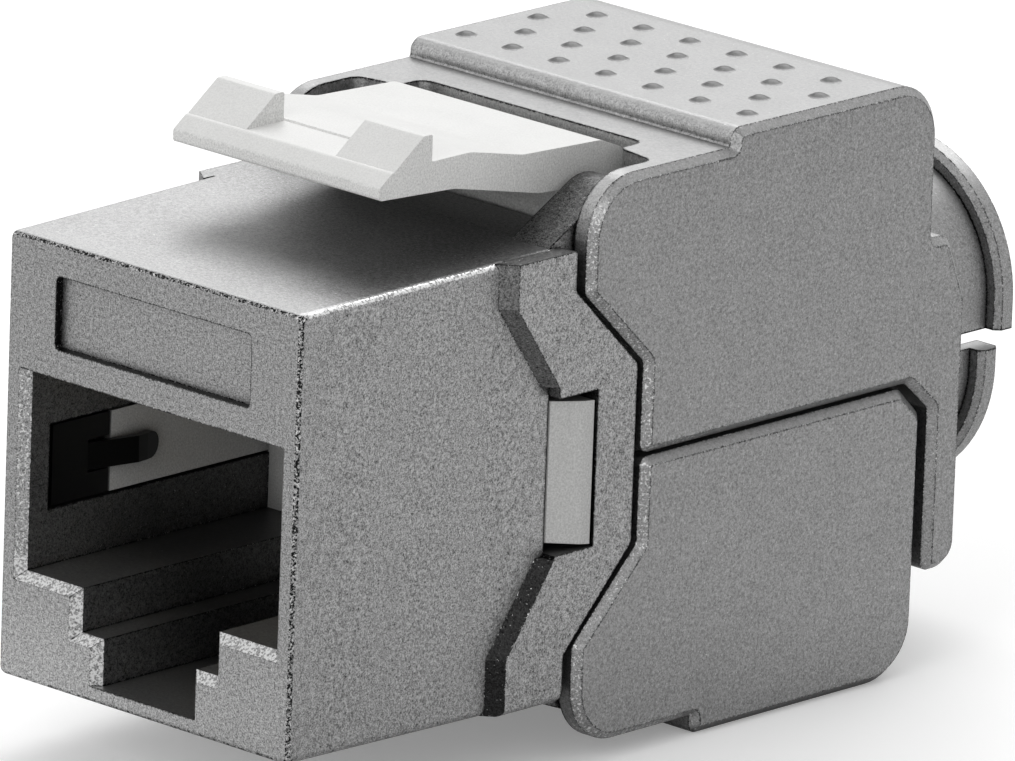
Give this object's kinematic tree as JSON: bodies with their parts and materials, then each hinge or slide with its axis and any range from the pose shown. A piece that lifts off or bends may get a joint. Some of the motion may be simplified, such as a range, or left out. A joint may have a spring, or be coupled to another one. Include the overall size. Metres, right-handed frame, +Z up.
{
  "type": "keystone jack",
  "caption": "Shielded toolless keystone jack with a stepped modular plug port, sprung panel latch, two hinged clamshell rear covers and a split cable collar.",
  "frame": {"origin": "in the front face, on the centre plane, level with the underside of the front body", "axes": "+Y from the front face towards the cable, +Z up with the plug's tab keyway at the bottom and the latch at the top, +X to the right seen from the front"},
  "size_m": [0.0164, 0.0399, 0.0239],
  "materials": {
    "nickel_zinc": "satin nickel plating over die-cast zinc, finely grained",
    "latch_plastic": "off-white moulded plastic",
    "ivory_plastic": "off-white moulded plastic",
    "clear_plastic": "pale moulded plastic, slightly glossy",
    "board_laminate": "green solder-masked laminate",
    "spring_steel": "bright rolled spring strip",
    "contact_gold": "gold-plated spring wire",
    "blade_bronze": "tinned phosphor bronze sheet"
  },
  "bodies": {
    "jack_body": {"front_housing": "nickel_zinc", "insert_body": "ivory_plastic", "contact_carrier": "ivory_plastic", "circuit_board": "board_laminate", "terminal_block": "ivory_plastic", "wire_manager": "clear_plastic", "left_shield_spring": "spring_steel", "right_shield_spring": "spring_steel", "contact_1": "contact_gold", "contact_2": "contact_gold", "contact_3": "contact_gold", "contact_4": "contact_gold", "contact_5": "contact_gold", "contact_6": "contact_gold", "contact_7": "contact_gold", "contact_8": "contact_gold", "upper_blade_1": "blade_bronze", "lower_blade_1": "blade_bronze", "upper_blade_2": "blade_bronze", "lower_blade_2": "blade_bronze", "upper_blade_3": "blade_bronze", "lower_blade_3": "blade_bronze", "upper_blade_4": "blade_bronze", "lower_blade_4": "blade_bronze"},
    "upper_shell": {"upper_cover": "nickel_zinc", "upper_presser": "ivory_plastic"},
    "lower_shell": {"lower_cover": "nickel_zinc", "lower_presser": "ivory_plastic"},
    "latch": {"keystone_latch": "latch_plastic"}
  },
  "joints": [
    {"name": "upper_hinge", "type": "hinge", "parent": "jack_body", "child": "upper_shell", "pos_m": [0, 0.0162, 0.0168], "axis": [1, 0, 0], "range_deg": [0, 90]},
    {"name": "lower_hinge", "type": "hinge", "parent": "jack_body", "child": "lower_shell", "pos_m": [0, 0.0162, 0.0003], "axis": [1, 0, 0], "range_deg": [-90, 0]},
    {"name": "latch_spring", "type": "hinge", "parent": "jack_body", "child": "latch", "pos_m": [0, 0.0172, 0.0166], "axis": [1, 0, 0], "range_deg": [0, 10], "stiffness_Nm_per_rad": 0.06}
  ],
  "couplings": [
    {"joint": "lower_hinge", "follows": "upper_hinge", "ratio": -1}
  ]
}
